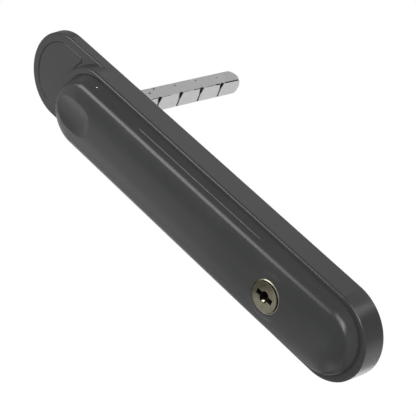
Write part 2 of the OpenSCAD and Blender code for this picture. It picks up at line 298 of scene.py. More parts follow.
def base_block():
    hh = np.unique(np.concatenate([np.linspace(0, RIM_H - RIM_E, 60), RIM_H - RIM_E + RIM_E * np.sin(np.linspace(0, np.pi / 2, 40))]))
    ww = rim_half(hh)
    inner = np.linspace(1, 0, 60)[1:]

    def rim_path(theta, foot):
        """distance from the centre along a ray, for each height"""
        if not foot:
            cz, c = 0.0, RIM_C
            return ww
        shift = -0.55 * (hh / RIM_H)  # the foot's round end leans out with height
        s = abs(math.sin(theta))
        # ray from (0, FOOT_C) meets a circle of radius ww about (0, FOOT_C + shift)
        d = -shift * s
        return d + np.sqrt(np.maximum(ww ** 2 - (shift ** 2) * (1 - s * s), 0))

    paths_x, paths_h, origin, direction = [], [], [], []
    N = 2600
    # head rays
    n_head = 181
    for th in np.linspace(0, np.pi, n_head):
        u = np.array([math.cos(th), math.sin(th)])
        # outer outline of the low end plate along the ray
        rho = np.linspace(0, 46, 9200)
        P = np.array([0, RIM_C]) + rho[:, None] * u
        dist = np.where(P[:, 1] > LOW_C, np.hypot(P[:, 0], P[:, 1] - LOW_C), np.abs(P[:, 0]))
        k = np.argmax(dist > BASE_R)
        r_out = rho[k - 1] + (BASE_R - dist[k - 1]) / max(dist[k] - dist[k - 1], 1e-9) * (rho[k] - rho[k - 1])
        r1 = np.linspace(r_out, max(r_out - 4.5, 19.0), 1500)
        r2 = np.linspace(r1[-1], 19.0, 300)[1:] if r1[-1] > 19.0 else np.empty(0)
        r3 = np.linspace(min(r1[-1], 19.0), 14.5, 1800)[1:]
        r = np.concatenate([r1, r2, r3])
        if r_out < 23.5:
            r = np.linspace(r_out, 14.5, 3600)
        P = np.array([0, RIM_C]) + r[:, None] * u
        dist = np.where(P[:, 1] > LOW_C, np.hypot(P[:, 0], P[:, 1] - LOW_C), np.abs(P[:, 0]))
        hl = low_profile(BASE_R - dist)
        hr = np.where(r > BASE_R, -2.0, np.interp(-r, -ww, hh, left=-2.0, right=RIM_H))
        hr = np.where(r > BASE_R, (BASE_R - r) / DRAFT, hr)
        k_s = 1.1 * float(sstep(0.03, 0.35, math.sin(th)))
        h = smax(hl, hr, k_s + 1e-6)
        h[0] = 0.0
        h = np.clip(h, 0, RIM_H)
        t = np.linspace(0, 1, N)
        # keep a fixed count, uniform along the path
        ds = np.r_[0, np.cumsum(np.hypot(np.diff(r), np.diff(h)))]
        sx = np.linspace(0, ds[-1], N)
        paths_x.append(np.interp(sx, ds, r))
        paths_h.append(np.interp(sx, ds, h))
        origin.append((0, RIM_C))
        direction.append(u)
    # left side, foot, right side: the same wall everywhere
    def add(o, u, th, foot):
        rr, h2 = rim_path(th, foot), hh
        r = np.concatenate([rr, np.linspace(rr[-1], 14.5, 30)[1:]])
        h = np.concatenate([h2, np.full(29, RIM_H)])
        ds = np.r_[0, np.cumsum(np.hypot(np.diff(r), np.diff(h)))]
        sx = np.linspace(0, ds[-1], N)
        paths_x.append(np.interp(sx, ds, r))
        paths_h.append(np.interp(sx, ds, h))
        origin.append(o)
        direction.append(u)

    zs = np.linspace(RIM_C, FOOT_C, 72)[1:-1]
    for z in zs:
        add((0, z), np.array([-1.0, 0.0]), 0, False)
    for th in np.linspace(np.pi, 2 * np.pi, 129):
        add((0, FOOT_C), np.array([math.cos(th), math.sin(th)]), th, True)
    for z in zs[::-1]:
        add((0, z), np.array([1.0, 0.0]), 0, False)
    px, ph = np.array(paths_x), np.array(paths_h)
    M = 96
    rx, rh = resample(px, ph, M, ds0=0.55, dphi=4.5)
    rx[:, 0], rh[:, 0] = px[:, 0], 0.0
    o, u = np.array(origin, float), np.array(direction)
    rings = []
    for j in range(M):
        p = o + rx[:, j:j + 1] * u
        rings.append(np.c_[p, rh[:, j]])
    return stack("housing_shell", rings)


def cap_ring(off, h, n=44):
    """outline of the cover cap, pulled in by -off, with its two lower corners rounded"""
    w = 14.4 + off
    R = 19.6 - off
    q = 1.3 + off * 0.5  # corner radius
    pts = []
    for a in np.linspace(0, np.pi, n * 2):
        pts.append((w * math.cos(a), LOW_C + w * math.sin(a)))
    # corner circle: tangent to the side x = -w from inside and to the circle R from outside
    cx = w - q
    cy = RIM_C + math.sqrt((R + q) ** 2 - cx * cx)
    for z in np.linspace(LOW_C, cy, 8)[1:-1]:
        pts.append((-w, z))
    a1 = math.atan2(RIM_C - cy, cx)  # from the left corner centre (-cx, cy) towards (0, RIM_C)
    for a in np.linspace(np.pi, 2 * np.pi + a1, 12):
        pts.append((-cx + q * math.cos(a), cy + q * math.sin(a)))
    b0 = math.atan2(cy - RIM_C, -cx)
    b1 = math.atan2(cy - RIM_C, cx)
    for b in np.linspace(b0, b1, n)[1:-1]:
        pts.append((R * math.cos(b), RIM_C + R * math.sin(b)))
    for a in np.linspace(-np.pi - a1, 0, 12):
        pts.append((cx + q * math.cos(a), cy + q * math.sin(a)))
    for z in np.linspace(cy, LOW_C, 8)[1:-1]:
        pts.append((w, z))
    return [(x, y, h) for x, y in pts]


def round_down(w, h, e, n=6):
    """(inset, height) pairs of a rounded top edge of radius e ending at height h"""
    return [(w - e + e * math.cos(t), h - e + e * math.sin(t)) for t in np.linspace(0, math.pi / 2, n)]


def make_base():
    ob = base_block()
    # the round well and the long tray, with softened upper edges
    e = 0.06
    well = [(WELL_R, 1.5), (WELL_R, RIM_H - e)] + [(WELL_R + e - e * math.cos(t), RIM_H - e + e * math.sin(t)) for t in np.linspace(0, math.pi / 2, 5)[1:]] + [(WELL_R + e, RIM_H + 1)]
    # its lower half sits 2 mm further down and its upper half is eased at the sides,
    # clear of the lever's sides when it folds, at rest and turned

    def well_point(r, t, h):
        z = (0.1 if math.sin(t) > 0 else -1.9) + r * math.sin(t)
        ease = 0.1 * max(1 - ((z - 2.2) / 2.8) ** 2, 0) ** 2 if math.sin(t) > 0 else 0
        return (r + ease) * math.cos(t), z, h

    boolean(ob, stack("c", [[well_point(r, t, h) for t in (np.arange(160) + 0.5) * np.pi / 80] for r, h in well]))
    tray = [(13.0, 2.4), (13.3, RIM_H - e)] + [(13.3 + e - e * math.cos(t), RIM_H - e + e * math.sin(t)) for t in np.linspace(0, math.pi / 2, 6)[1:]] + [(13.3 + e, RIM_H + 1)]
    boolean(ob, half_pill("c", tray, 0.0, FOOT_C + 0.3, False, 96))
    # boss round the barrel, half-turn stop, posts and ribs
    boolean(ob, turned("b", [(0, 0.2), (9.8, 0.2), (9.8, 5.2), (9.5, 5.5), (0, 5.5)], n=96), "UNION")
    a = np.radians(np.linspace(172, 188, 9))
    ring = [(9.3 * math.cos(t), 9.3 * math.sin(t)) for t in a] + [(10.9 * math.cos(t), 10.9 * math.sin(t)) for t in a[::-1]]
    boolean(ob, stack("b", [[(x, y, 0.5) for x, y in ring], [(x, y, 7.5) for x, y in ring]]), "UNION")
    boolean(ob, turned("b", [(0, 0.5), (6.4, 0.5), (6.4, 5.9), (6.1, 6.2), (0, 6.2)], 0, FIX_DOWN, 72), "UNION")
    for z in (-40, -128):
        boolean(ob, turned("b", [(0, 0.5), (4.4, 0.5), (4.2, 8.5), (3.9, 8.8), (0, 8.8)], 0, z, 64), "UNION")
    for z in (-24, -58, -76, -108, -145):
        boolean(ob, slab("b", -13.2, 13.2, z - 0.9, z + 0.9, 1, 5), "UNION")
    boolean(ob, slab("b", -0.9, 0.9, -78, -38, 1, 5), "UNION")
    # bore, recess at the back, fixing holes
    boolean(ob, turned("c", [(0, 1), (7.6, 1), (7.6, 6), (0, 6)], n=96))
    boolean(ob, turned("c", [(0, -1), (8.7, -1), (8.7, 0.0), (8.4, 0.3), (8.4, 2.8), (0, 2.8)], n=96))
    for z, r1, h1, h2 in ((FIX_UP, 4.25, 1.2, 2.801), (FIX_DOWN, 5.0, 3.85, 6.201)):
        boolean(ob, turned("c", [(0, -1), (2.95, -1), (2.95, 0), (2.65, 0.3), (2.65, h1), (r1, h2), (r1, 12), (0, 12)], 0, z, 64))
    # pocket of the cover cap with softened upper edge
    e, g = 0.55, 0.32
    rings = [cap_ring(0.04, 2.8), cap_ring(0.04, LOW_H - g)]
    for t in np.linspace(0, math.pi / 2, 8)[1:]:
        rings.append(cap_ring(0.04 + e - e * math.cos(t), LOW_H - g + g * math.sin(t)))
    rings.append(cap_ring(0.04 + e, LOW_H + 0.3))
    boolean(ob, stack("c", rings))
    for x in (-9.5, 9.5):
        boolean(ob, turned("c", [(0, 1.0), (1.5, 1.0), (1.5, 3.5), (0, 3.5)], x, 26, 32))
    for z in (-40, -128):
        boolean(ob, turned("c", [(0, 6.4), (1.3, 6.4), (1.3, 9), (0, 9)], 0, z, 32))
    # shallow pockets in the back
    def oval(ya, yb, r):
        a = np.linspace(0, np.pi, 40)
        p = [(9 * math.cos(t), yb + r * math.sin(t)) for t in a] + [(-9 * math.cos(t), ya - 9 * math.sin(t)) for t in a]
        return p
    for ya, yb, r in ((-84, -26, 4.0), (-134, -106, 4.0)):
        p = oval(ya, yb, r)
        boolean(ob, stack("c", [[(x, y, h) for x, y in p] for h in (-1, 1)]))
    return ob


def make_cap():
    top = LOW_H - 0.05
    e, g = 0.6, 0.32
    rings = [cap_ring(-0.2, 2.85), cap_ring(0, 3.05), cap_ring(0, top - g)]
    for t in np.linspace(0, math.pi / 2, 8)[1:]:
        rings.append(cap_ring(-e + e * math.cos(t), top - g + g * math.sin(t)))
    ob = stack("cover_cap", rings)
    boolean(ob, turned("c", [(0, 2), (4.5, 2), (4.5, 3.3), (0, 3.3)], 0, FIX_UP, 48))
    for x in (-9.5, 9.5):
        boolean(ob, turned("b", [(0, 1.2), (1.3, 1.2), (1.45, 1.4), (1.45, 3.0), (0, 3.0)], x, 26, 32), "UNION")
    return ob


# -------------------------------------------------------------------- lever
CROWN_R, SH_R, PAD_H = 34.5, 3.8, 17.45
SH_X = CROWN_R * math.cos(math.radians(70)) - SH_R * math.cos(math.radians(70))
SH_H = CROWN_H - CROWN_R * (1 - math.sin(math.radians(70))) - SH_R * math.sin(math.radians(70))
SIDE_A = 28
SIDE_X = SH_X + SH_R * math.cos(math.radians(SIDE_A))
SIDE_H = SH_H + SH_R * math.sin(math.radians(SIDE_A))
FOOT_X = SIDE_X + (SIDE_H - FOOT_H) * math.tan(math.radians(SIDE_A))
FOOT_LINE = FOOT_H - 0.175


def crown(x, z):
    """height of the crown, a barrel along the lever with domed ends"""
    d = np.where(z > 1.7, z - 1.7, np.where(z < -138.5, z + 138.5, 0.0))
    w2 = x * x + d * d
    return CROWN_H - CROWN_R + np.sqrt(np.maximum(CROWN_R ** 2 - w2, 0.01))


def sink(z):
    """how far the crown and its shoulder have sunk towards the foot"""
    return 1.21e-6 * np.maximum(-50.0 - z, 0) ** 3


def scooped(x, z, h):
    """the crown with the thumb scoop and the pad round the lock"""
    h = h - sink(z)
    u = z - 0.8
    s = 16.07 + np.where(u < 0, 1.78 * np.abs(u / 9.9) ** 3, 0.15 * np.abs(u / 11.5) ** 3) + x * x / 36.0
    h = smin(h, s, 0.10)
    r = np.hypot(x, z - LOCK_Z)
    k = 0.32 * (1 - sstep(7.0, 9.8, r))
    return h + k * (PAD_H - h)


def lever_profile():
    """(half-width, height) from the foot over the side and the shoulder to the middle"""
    sa = math.radians(SIDE_A)
    h0 = FOOT_LINE
    land = 0.06
    xl = SIDE_X + (SIDE_H - h0 - land) * math.tan(sa)
    pts = [(xl - 0.02, h0), (xl, h0 + 0.02), (xl, h0 + 0.03), (xl, h0 + 0.04), (xl, h0 + 0.05), (xl - 0.004, h0 + land)]
    hs = np.concatenate([np.linspace(h0 + land + 0.05, 12.86, 15), [12.885, 12.9, 12.915, 12.96, 13.0, 13.025, 13.04, 13.055, 13.09],
                         np.linspace(13.15, SIDE_H, 9)[:-1]])
    side = [(SIDE_X + (SIDE_H - h) * math.tan(sa), h) for h in hs]
    arc = [(SH_X + SH_R * math.cos(t), SH_H + SH_R * math.sin(t)) for t in np.radians(np.linspace(SIDE_A, 70, 26))]
    w1 = CROWN_R * math.cos(math.radians(70))
    ws = list(np.linspace(w1, 0.0, 44)[1:])
    top = [(w, CROWN_H - CROWN_R + math.sqrt(CROWN_R ** 2 - w * w)) for w in ws]
    return pts + side + arc + top


def finger_step(h, z):
    """how far the side is set back above its fine step"""
    d = np.interp(h, [12.885, 12.915, 13.02, 13.055, SIDE_H], [0, 0.03, 0.142, 0.147, 0], left=0, right=0)
    return d * sstep(-102.0, -97.5, z) * sstep(-27.5, -31.5, z)


def make_lever():
    prof = lever_profile()
    w1 = CROWN_R * math.cos(math.radians(70))
    # places along the straight part, closer at the scoop, at the ends of the recess and at the lock
    zz = [0.0]
    while zz[-1] < 140:
        z = 1.7 - zz[-1]
        step = 0.8
        if z > -12:
            step = 0.4
        if abs(z + 29.5) < 3 or abs(z + 99.5) < 3 or abs(z - LOCK_Z) < 11:
            step = 0.4
        zz.append(zz[-1] + step)
    tz = np.array([a for a in zz[1:] if a < 140.3]) / 140.7
    rings = []
    for r, h in prof:
        k = min(max((FOOT_X - r) / (FOOT_X - w1), 0), 1)
        ch = 0.1 + 1.6 * k
        cf = -138.1 - 0.95 * k
        p = pill_ring(max(r, 0.0), ch, cf, h, 96, tz)
        # fine step along both sides
        x, y = p[:, 0], p[:, 1]
        p[:, 0] = np.sign(x) * (np.abs(x) - finger_step(h, y) * (np.abs(x) > r - 0.01))
        if h > 14.5:
            p[:, 2] = scooped(p[:, 0], p[:, 1], np.full(len(p), h))
        elif h > SIDE_H:
            p[:, 2] = h - sink(p[:, 1])
        else:
            # the side stays in its plane and gets shorter
            d = sink(p[:, 1])
            up = max(h - FOOT_LINE, 0) * (SIDE_H - d - FOOT_LINE) / (SIDE_H - FOOT_LINE)
            dr = (h - d - FOOT_LINE - up if h > FOOT_LINE else -d) * math.tan(math.radians(SIDE_A))
            uy = np.where(p[:, 1] < cf, p[:, 1] - cf, 0.0)
            ln = np.maximum(np.hypot(p[:, 0], uy), 1e-9)
            p[:, 0] += dr * p[:, 0] / ln
            p[:, 1] += dr * uy / ln
            if h > FOOT_LINE:
                p[:, 2] = FOOT_LINE + up
        rings.append(p)
    m, n = len(rings), len(rings[0])
    v = np.concatenate(rings)
    f = rings_faces(m, n)
    f.append(tuple(range(n - 1, -1, -1)))
    ob = to_object("lever_arm", v, f)
    # hollow underside
    boolean(ob, half_pill("c", [(13.0, FOOT_H - 1), (13.0, FOOT_H), (11.7, 15.0)], -16.0, 0.1, True, 64))
    boolean(ob, half_pill("c", [(11.2, FOOT_H - 1), (11.2, FOOT_H), (10.6, 15.3)], -14.0, -123.0, False, 64))
    boolean(ob, half_pill("c", [(11.2, FOOT_H - 1), (11.2, FOOT_H), (10.6, 13.4)], -100.0, -138.0, False, 64))
    # seats of the folding pin
    boolean(ob, across_pin("c", [(0, -18), (1.8, -18), (1.8, -15.1), (1.5, -14.8), (1.5, 13.0), (0, 13.0)], PIN_Z, PIN_H))
    boolean(ob, across_pin("c", [(0, 12), (0.55, 12), (0.55, 18), (0, 18)], PIN_Z, PIN_H, 32))
    # hole of the lock
    hole = [(0, 12), (6.5, 12), (6.5, 16.95), (6.65, 17.05), (6.65, 20), (0, 20)]
    boolean(ob, turned("c", hole, 0, LOCK_Z, 128))
    return ob


# ------------------------------------------------------------------ spindle
SPINDLE_L = 73.0
NOTCHES = [24.5 + 11.9 * i for i in range(4)]
DENTS = [(25.9, 2.55, 0.62), (37.3, 1.9, 0.5), (49.3, 2.1, 0.5), (22.0, 0.6, 0.7), (60.8, 0.9, 0.45)]  # along, up, radius, on the right face


def notch_half(x):
    """half-width of a notch across a face, wide at the end where it was sheared"""
    return 0.46 + 0.8 * np.clip((x - 0.2) / 3.3, 0, 1)


def make_spindle():
    W, L, e = 3.5, SPINDLE_L, 0.2
    ys = [-9.3, -9.2]
    y = -9.0
    while y < L - 0.02:
        ys.append(y)
        near = min(abs(y - m) for m in NOTCHES)
        step = 0.8
        if near < 1.6:
            step = 0.11
        if any(abs(y - d[0]) < 0.6 for d in DENTS):
            step = 0.11
        if y > L - 3.6:
            step = 0.14
        if y > L - 0.7:
            step = 0.05
        if y > L - 0.15:
            step = 0.02
        y += step
    ys.append(L)
    # one ring: a square with rounded corners
    ring = []
    corners = [(1, 1), (-1, 1), (-1, -1), (1, -1)]
    for i, (sx, sy) in enumerate(corners):
        a0 = i * 90
        for t in np.radians(np.linspace(a0, a0 + 90, 6)):
            ring.append((sx * (W - e) + e * math.cos(t), sy * (W - e) + e * math.sin(t)))
        nx, ny = corners[(i + 1) % 4]
        p0 = np.array(ring[-1])
        t = math.radians(a0 + 90)
        p1 = np.array((nx * (W - e) + e * math.cos(t), ny * (W - e) + e * math.sin(t)))
        for k in np.linspace(0, 1, 40)[1:-1]:
            ring.append(tuple(p0 + (p1 - p0) * k))
    ring = np.array(ring)
    rings = []
    for y in ys:
        p = ring.copy()
        if y < -9.15:
            p *= (W - 0.3) / W if y < -9.25 else (W - 0.05) / W
        # notches on the lower and the upper face, each deep at one end
        for m in NOTCHES:
            if abs(y - m) < 1.3:
                for s in (-1, 1):
                    # a notch leans over slightly towards its deep end
                    x = p[:, 0] * -s
                    cut = (notch_half(x) - abs(y - m - 0.05 * x)) * (0.85 - 0.1 * x)
                    lim = W - np.maximum(cut, 0)
                    yy = p[:, 1] * s
                    p[:, 1] = np.where(yy > 0, s * np.minimum(yy, lim), p[:, 1])
        # small dents beside the notches on the right face
        for dy, dz, dr in DENTS:
            q = np.hypot(y - dy, p[:, 1] - dz) / dr
            p[:, 0] = np.where((ring[:, 0] > W - 1e-4) & (q < 1), p[:, 0] - 0.22 * (1 - q * q), p[:, 0])
        # domed tip
        R = 5.5
        dy = y - (L - R)
        if dy > 0:
            rho = math.sqrt(max(R * R - dy * dy, 0))
            rr = np.hypot(p[:, 0], p[:, 1])
            k = np.minimum(1, rho / np.maximum(rr, 1e-9))
            p = p * k[:, None]
        rings.append(np.c_[p, np.full(len(p), -y)])
    m, n = len(rings), len(ring)
    v = np.concatenate(rings)
    f = rings_faces(m, n)
    f.append(tuple(range(n)))
    f = [tuple(reversed(q)) for q in f]
    return to_object("square_spindle", v, f)


def darken_cuts(ob, dark, grey):
    """painted shade in the notches and the dents, as a second and a third material, and darker stretches along one edge
    """
    ob.data.materials.append(dark)
    ob.data.materials.append(grey)
    dark_stretches = [(62.3, 70.0, 0.42, 1), (56.0, 59.0, 0.36, 1), (51.0, 55.6, 0.28, 2), (43.6, 47.3, 0.2, 1), (20.0, 23.2, 0.2, 1), (26.2, 31.0, 0.16, 2), (38.4, 41.0, 0.16, 2)]
    for f in ob.data.polygons:
        c = f.center * 1000
        y, x, z = c.y, c.x, c.z
        for m in NOTCHES:
            for s in (-1, 1):
                xs = x * -s
                if z * s > 2.0 and abs(f.normal.x) < 0.6 and abs(y - m - 0.05 * xs) < notch_half(xs) - 0.05:
                    f.material_index = 1 if xs > 0.9 else 2
        for dy, dz, dr in DENTS:
            if x > 3.1 and math.hypot(y - dy, z - dz) < dr * 0.8:
                f.material_index = 2
        for a, b, w, k in dark_stretches:
            if x > 3.5 - w and z < -3.5 + w and a < y < b:
                f.material_index = k


# --------------------------------------------------------------------- lock
def box_cut(w, l, h0, h1, deg=8.0, cx=0.0, cy=0.0, e=0.12):
    a = math.radians(deg)
    pts = []
    for sx, sy, t0 in ((1, 1, 0), (-1, 1, 90), (-1, -1, 180), (1, -1, 270)):
        for t in np.radians(np.linspace(t0, t0 + 90, 4)):
            pts.append((sx * (w / 2 - e) + e * math.cos(t), sy * (l / 2 - e) + e * math.sin(t)))
    ring = [(cx + x * math.cos(a) - y * math.sin(a), LOCK_Z + cy + x * math.sin(a) + y * math.cos(a)) for x, y in pts]
    return stack("c", [[(x, y, h) for x, y in ring] for h in (h0, h1)])


def make_lock():
    R, H = 5.92, 18.06
    prof = [(0, 13.2), (4.9, 13.2), (4.9, 16.55), (R, 16.6), (R, H - 0.16), (R - 0.03, H - 0.06), (R - 0.1, H - 0.01), (R - 0.16, H), (0, H)]
    plug = turned("key_plug", prof, 0, LOCK_Z, 160)
    boolean(plug, box_cut(2.15, 7.9, 14.2, 19, 0.0, 0.24, 0.1, 0.05))
    boolean(plug, turned("c", [(0, 14.2), (1.75, 14.2), (1.75, 19), (0, 19)], 0.72, LOCK_Z - 0.05, 96))
    # the pocket of the guide pin, undercut below the face
    boolean(plug, turned("c", [(0, 14.35), (1.8, 14.35), (1.8, 19), (0, 19)], -0.72, LOCK_Z + 0.2, 64))
    boolean(plug, turned("c", [(0, 14.5), (1.95, 14.5), (1.95, 17.8), (0, 17.8)], -1.3, LOCK_Z + 0.2, 64))
    for h in (14.6, 15.3, 16.0):
        boolean(plug, box_cut(5.1, 8.3, h, h + 0.45, 0.0, -0.05, 0.1))
    boolean(plug, turned("c", [(0, 12), (0.8, 12), (0.8, 14.1), (0, 14.1)], 0, LOCK_Z, 32))
    top = 17.5
    ring = [(4.95, 13.4), (6.47, 13.4), (6.47, 17.0), (6.62, 17.1), (6.6, top - 0.24), (6.3, top - 0.02), (6.26, top), (6.21, top - 0.02), (6.2, top - 0.06), (6.2, 16.55), (4.95, 16.45)]
    n = 160
    a = np.linspace(0, 2 * np.pi, n, endpoint=False)
    v, f = [], []
    for r, h in ring:
        v += [(r * math.cos(t), LOCK_Z + r * math.sin(t), h) for t in a]
    m = len(ring)
    for i in range(m):
        A, B = i * n, ((i + 1) % m) * n
        for j in range(n):
            k = (j + 1) % n
            f.append((A + j, A + k, B + k, B + j))
    sleeve = to_object("lock_ring", v, f)
    bx, bz, br = -2.28, LOCK_Z + 0.17, 0.92
    pin = turned("guide_ball", [(0, 13.65), (0.62, 13.65), (0.62, 16.4)] + [(br * math.cos(t), 17.12 + br * math.sin(t)) for t in np.radians(np.linspace(-44, 86, 18))] + [(0, 17.12 + br)], bx, bz, 40)
    return plug, sleeve, pin


def darken_inside(ob, mat):
    """painted shade, near black, on the walls of the keyhole and on the side of the plug, where the deep hole and the
    narrow gap to the ring lie in shade
    """
    ob.data.materials.append(mat)
    for f in ob.data.polygons:
        c = f.center * 1000
        if -c.y < 17.9:
            f.material_index = 1
        elif f.normal.y > -0.2:
            f.material_index = 1


def make_hinge_pin():
    r, q = 1.5, 0.5
    prof = [(0, -14.3), (1.2, -14.3), (1.5, -14.0), (1.5, 12.8), (1.3, 13.0), (q, 13.0), (q, 14.6)]
    prof += [(q * math.cos(t), 14.6 + 0.38 * math.sin(t)) for t in np.radians(np.linspace(0, 84, 7))[1:]] + [(0, 14.98)]
    return across_pin("folding_pin", prof, PIN_Z, PIN_H, 40)


# ---------------------------------------------------------------- materials
def new_mat(name):
    m = bpy.data.materials.new(name)
    m.use_nodes = True
    nt = m.node_tree
    return m, nt, nt.nodes["Principled BSDF"]


def noise(nt, scale, detail=3.0, rough=0.5, coord=None, stretch=None):
    n = nt.nodes.new("ShaderNodeTexNoise")
    n.inputs["Scale"].default_value = scale
    n.inputs["Detail"].default_value = detail
    n.inputs["Roughness"].default_value = rough
    if stretch:
        mp = nt.nodes.new("ShaderNodeMapping")
        mp.inputs["Scale"].default_value = stretch
        nt.links.new(coord, mp.inputs["Vector"])
        nt.links.new(mp.outputs["Vector"], n.inputs["Vector"])
    else:
        nt.links.new(coord, n.inputs["Vector"])
    return n


def ramp(nt, src, stops):
    r = nt.nodes.new("ShaderNodeValToRGB")
    e = r.color_ramp.elements
    while len(e) < len(stops):
        e.new(0.5)
    for i, (pos, col) in enumerate(stops):
        e[i].position = pos
        e[i].color = (*col, 1) if len(col) == 3 else col
    nt.links.new(src, r.inputs["Fac"])
    return r


def remap(nt, src, a, b, c, d):
    r = nt.nodes.new("ShaderNodeMapRange")
    for i, v in zip((1, 2, 3, 4), (a, b, c, d)):
        r.inputs[i].default_value = v
    nt.links.new(src, r.inputs[0])
    return r


def bump(nt, src, strength, dist, prev=None):
    b = nt.nodes.new("ShaderNodeBump")
    b.inputs["Strength"].default_value = strength
    b.inputs["Distance"].default_value = dist
    nt.links.new(src, b.inputs["Height"])
    if prev:
        nt.links.new(prev.outputs["Normal"], b.inputs["Normal"])
    return b


def coords(nt):
    return nt.nodes.new("ShaderNodeTexCoord").outputs["Object"]


def powder_coat():
    m, nt, p = new_mat("powder_coat_anthracite")
    co = coords(nt)
    # broad, very slight drift of the colour, and a fine fleck
    broad = noise(nt, 55, 2.0, 0.5, co)
    fleck = noise(nt, 2600, 2.0, 0.6, co)
    mix = nt.nodes.new("ShaderNodeMix")
    mix.data_type = "FLOAT"
    mix.inputs[0].default_value = 0.55
    nt.links.new(broad.outputs["Fac"], mix.inputs[2])
    nt.links.new(fleck.outputs["Fac"], mix.inputs[3])
    col = ramp(nt, mix.outputs[0], [(0.34, (0.0365, 0.0372, 0.0380)), (0.66, (0.0435, 0.0442, 0.0450))])
    nt.links.new(col.outputs["Color"], p.inputs["Base Color"])
    r = remap(nt, broad.outputs["Fac"], 0.3, 0.7, 0.245, 0.275)
    nt.links.new(r.outputs[0], p.inputs["Roughness"])
    p.inputs["Specular IOR Level"].default_value = 0.5
    p.inputs["IOR"].default_value = 1.5
    # fine orange peel of the baked powder, with a coarser roll under it
    peel = noise(nt, 900, 2.0, 0.5, co)
    roll = noise(nt, 210, 1.0, 0.5, co)
    b1 = bump(nt, roll.outputs["Fac"], 0.05, 0.00006)
    b2 = bump(nt, peel.outputs["Fac"], 0.07, 0.00003, b1)
    nt.links.new(b2.outputs["Normal"], p.inputs["Normal"])
    return m


def plated(name, base, rough, mottle, stretch=None, bump_s=0.1, scale=160):
    m, nt, p = new_mat(name)
    co = coords(nt)
    cloud = noise(nt, scale, 4.0, 0.6, co)
    b = np.array(base)
    lo, hi = b * (1 - mottle), np.minimum(b * (1 + mottle), 1)
    col = ramp(nt, cloud.outputs["Fac"], [(0.3, tuple(lo)), (0.52, tuple(b)), (0.72, tuple(hi))])
    nt.links.new(col.outputs["Color"], p.inputs["Base Color"])
    p.inputs["Metallic"].default_value = 1.0
    r = remap(nt, cloud.outputs["Fac"], 0.3, 0.7, rough - 0.05, rough + 0.05)
    nt.links.new(r.outputs[0], p.inputs["Roughness"])
    fine = noise(nt, 1500, 2.0, 0.5, co, stretch or (1, 1, 1))
    bb = bump(nt, fine.outputs["Fac"], bump_s, 0.00003)
    nt.links.new(bb.outputs["Normal"], p.inputs["Normal"])
    return m


def shaded_nickel():
    """as plated and cloudy, with painted shade, standing in for a darker reflection, darkening the lock's face towards
    one side
    """
    m = plated("nickel_face_painted_shade", (0.37, 0.345, 0.255), 0.34, 0.16, None, 0.12, 420)
    nt = m.node_tree
    p = nt.nodes["Principled BSDF"]
    co = coords(nt)
    old = p.inputs["Base Color"].links[0].from_socket
    sep = nt.nodes.new("ShaderNodeSeparateXYZ")
    nt.links.new(co, sep.inputs[0])
    ax = nt.nodes.new("ShaderNodeMath")
    ax.operation = "MULTIPLY_ADD"
    ax.inputs[1].default_value = 0.8
    nt.links.new(sep.outputs["X"], ax.inputs[0])
    nt.links.new(sep.outputs["Z"], ax.inputs[2])
    cloud = noise(nt, 330, 2.0, 0.55, co)
    wob = nt.nodes.new("ShaderNodeMath")
    wob.operation = "MULTIPLY_ADD"
    wob.inputs[1].default_value = 0.006
    nt.links.new(cloud.outputs["Fac"], wob.inputs[0])
    nt.links.new(ax.outputs[0], wob.inputs[2])
    z0 = LOCK_Z * 0.001 + 0.003
    # painted shade: the face darkens towards one side along this slant
    k = remap(nt, wob.outputs[0], z0 - 0.0005, z0 + 0.0052, 0.0, 0.85)
    mix = nt.nodes.new("ShaderNodeMix")
    mix.data_type = "RGBA"
    nt.links.new(k.outputs[0], mix.inputs[0])
    nt.links.new(old, mix.inputs[6])
    mix.inputs[7].default_value = (0.075, 0.07, 0.042, 1)
    nt.links.new(mix.outputs[2], p.inputs["Base Color"])
    return m


def nylon_mat():
    m, nt, p = new_mat("nylon_natural")
    co = coords(nt)
    n = noise(nt, 300, 2, 0.5, co)
    col = ramp(nt, n.outputs["Fac"], [(0.3, (0.60, 0.585, 0.52)), (0.7, (0.68, 0.665, 0.60))])
    nt.links.new(col.outputs["Color"], p.inputs["Base Color"])
    p.inputs["Roughness"].default_value = 0.45
    p.inputs["Subsurface Weight"].default_value = 0.15
    p.inputs["Subsurface Scale"].default_value = 0.001
    nt.links.new(bump(nt, n.outputs["Fac"], 0.1, 0.00005).outputs["Normal"], p.inputs["Normal"])
    return m


def rubber_mat():
    m, nt, p = new_mat("rubber_black")
    co = coords(nt)
    n = noise(nt, 700, 3, 0.6, co)
    col = ramp(nt, n.outputs["Fac"], [(0.3, (0.012, 0.012, 0.012)), (0.7, (0.025, 0.025, 0.024))])
    nt.links.new(col.outputs["Color"], p.inputs["Base Color"])
    r = remap(nt, n.outputs["Fac"], 0.3, 0.7, 0.62, 0.78)
    nt.links.new(r.outputs[0], p.inputs["Roughness"])
    nt.links.new(bump(nt, n.outputs["Fac"], 0.25, 0.00005).outputs["Normal"], p.inputs["Normal"])
    return m


def dark_metal(name, lo, hi, rough):
    """dark, dry metal for painted shade on faces that lie in shade, and for darker stretches of an edge"""
    m, nt, p = new_mat(name)
    n = noise(nt, 900, 3, 0.6, coords(nt))
    col = ramp(nt, n.outputs["Fac"], [(0.3, lo), (0.7, hi)])
    nt.links.new(col.outputs["Color"], p.inputs["Base Color"])
    p.inputs["Roughness"].default_value = rough
    p.inputs["Specular IOR Level"].default_value = 0.15
    nt.links.new(bump(nt, n.outputs["Fac"], 0.2, 0.00004).outputs["Normal"], p.inputs["Normal"])
    return m
